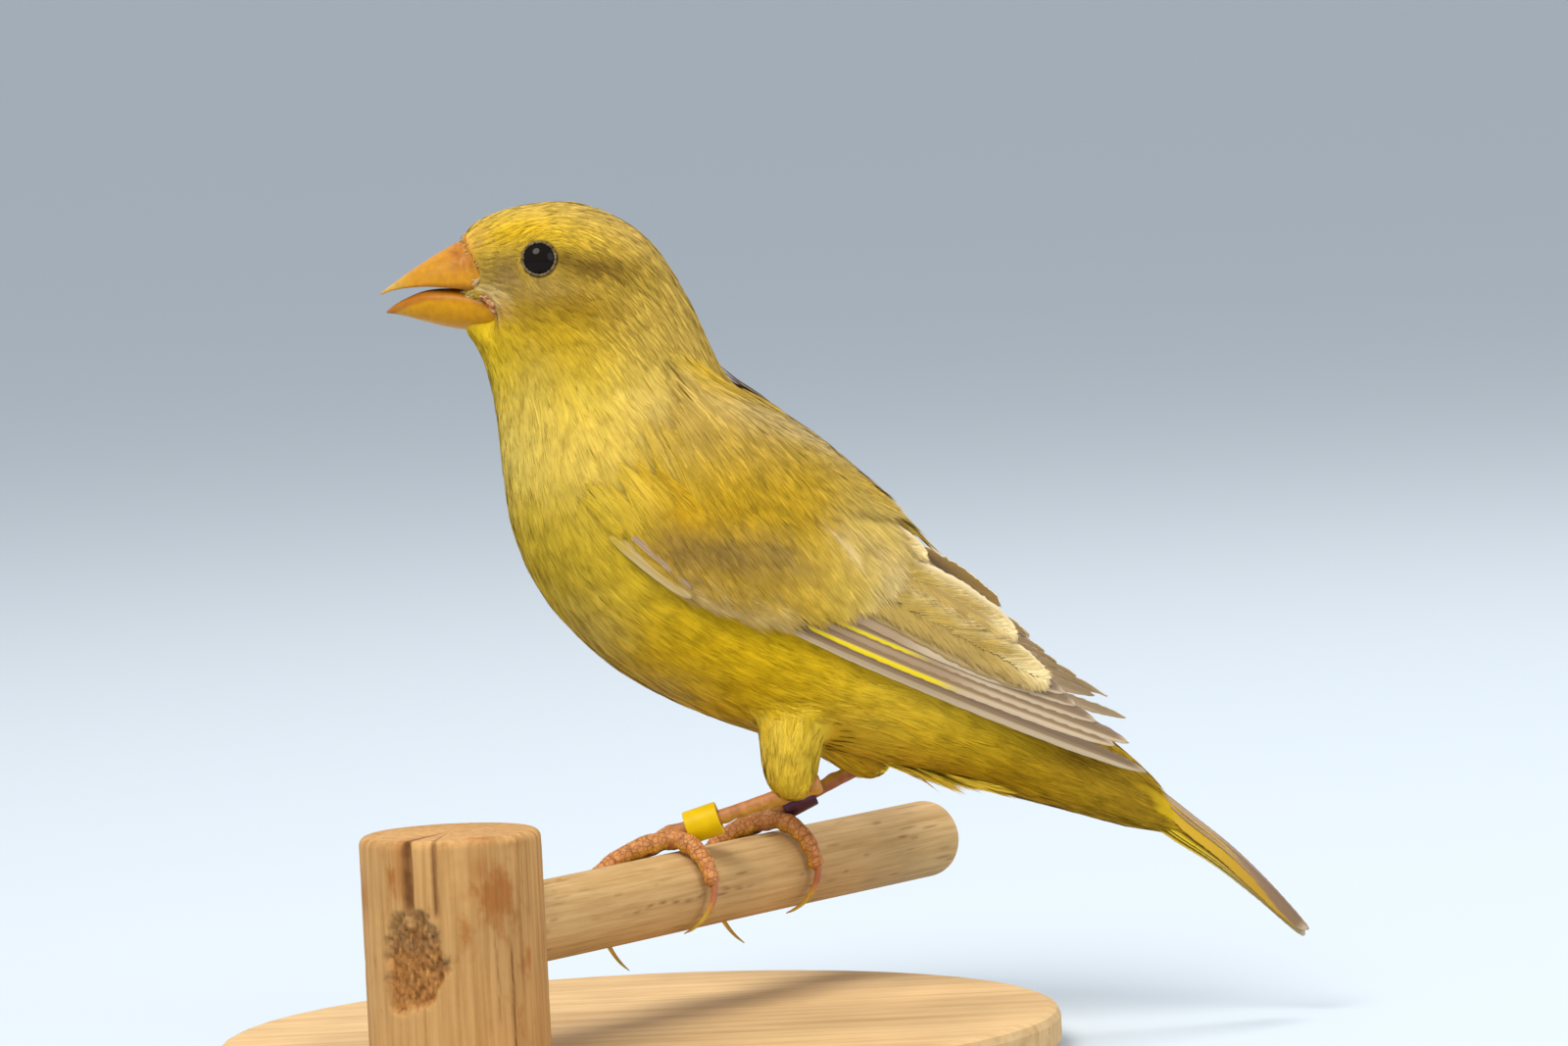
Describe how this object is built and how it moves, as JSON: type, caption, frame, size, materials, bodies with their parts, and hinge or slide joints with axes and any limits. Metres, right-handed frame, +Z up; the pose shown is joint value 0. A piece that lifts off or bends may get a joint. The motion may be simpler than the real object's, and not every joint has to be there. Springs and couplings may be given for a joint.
{
  "type": "canary model",
  "caption": "Life-size still model of a yellow canary gripping a round wooden perch, which a post holds level on a flat round base.",
  "frame": {"origin": "on the base's underside, straight below the middle of the two feet on the perch", "axes": "+Z up; +X from the bill towards the tail, so the bird faces -X; +Y towards the bird's right side"},
  "size_m": [0.1307, 0.1086, 0.1022],
  "materials": {
    "yellow_feathers": "matte",
    "head_feathers": "matte",
    "wing_feathers": "matte",
    "tail_feathers": "matte",
    "bill_horn": "satin",
    "leg_skin": "satin",
    "eye": "gloss",
    "ring_yellow": "satin",
    "ring_purple": "satin",
    "perch_wood": "matte",
    "stand_wood": "matte"
  },
  "bodies": {
    "root": {"head": "head_feathers", "neck": "head_feathers", "torso": "yellow_feathers", "rump": "yellow_feathers", "tail": "tail_feathers", "bill_upper": "bill_horn", "bill_lower": "bill_horn", "eye_left": "eye", "eye_right": "eye", "wing_left": "wing_feathers", "wing_right": "wing_feathers", "thigh_left": "yellow_feathers", "thigh_right": "yellow_feathers", "shank_left": "leg_skin", "shank_right": "leg_skin", "foot_left": "leg_skin", "foot_right": "leg_skin", "ring_left": "ring_yellow", "ring_right": "ring_purple", "perch_dowel": "perch_wood", "stand_post": "stand_wood", "stand_base": "stand_wood"}
  },
  "joints": []
}
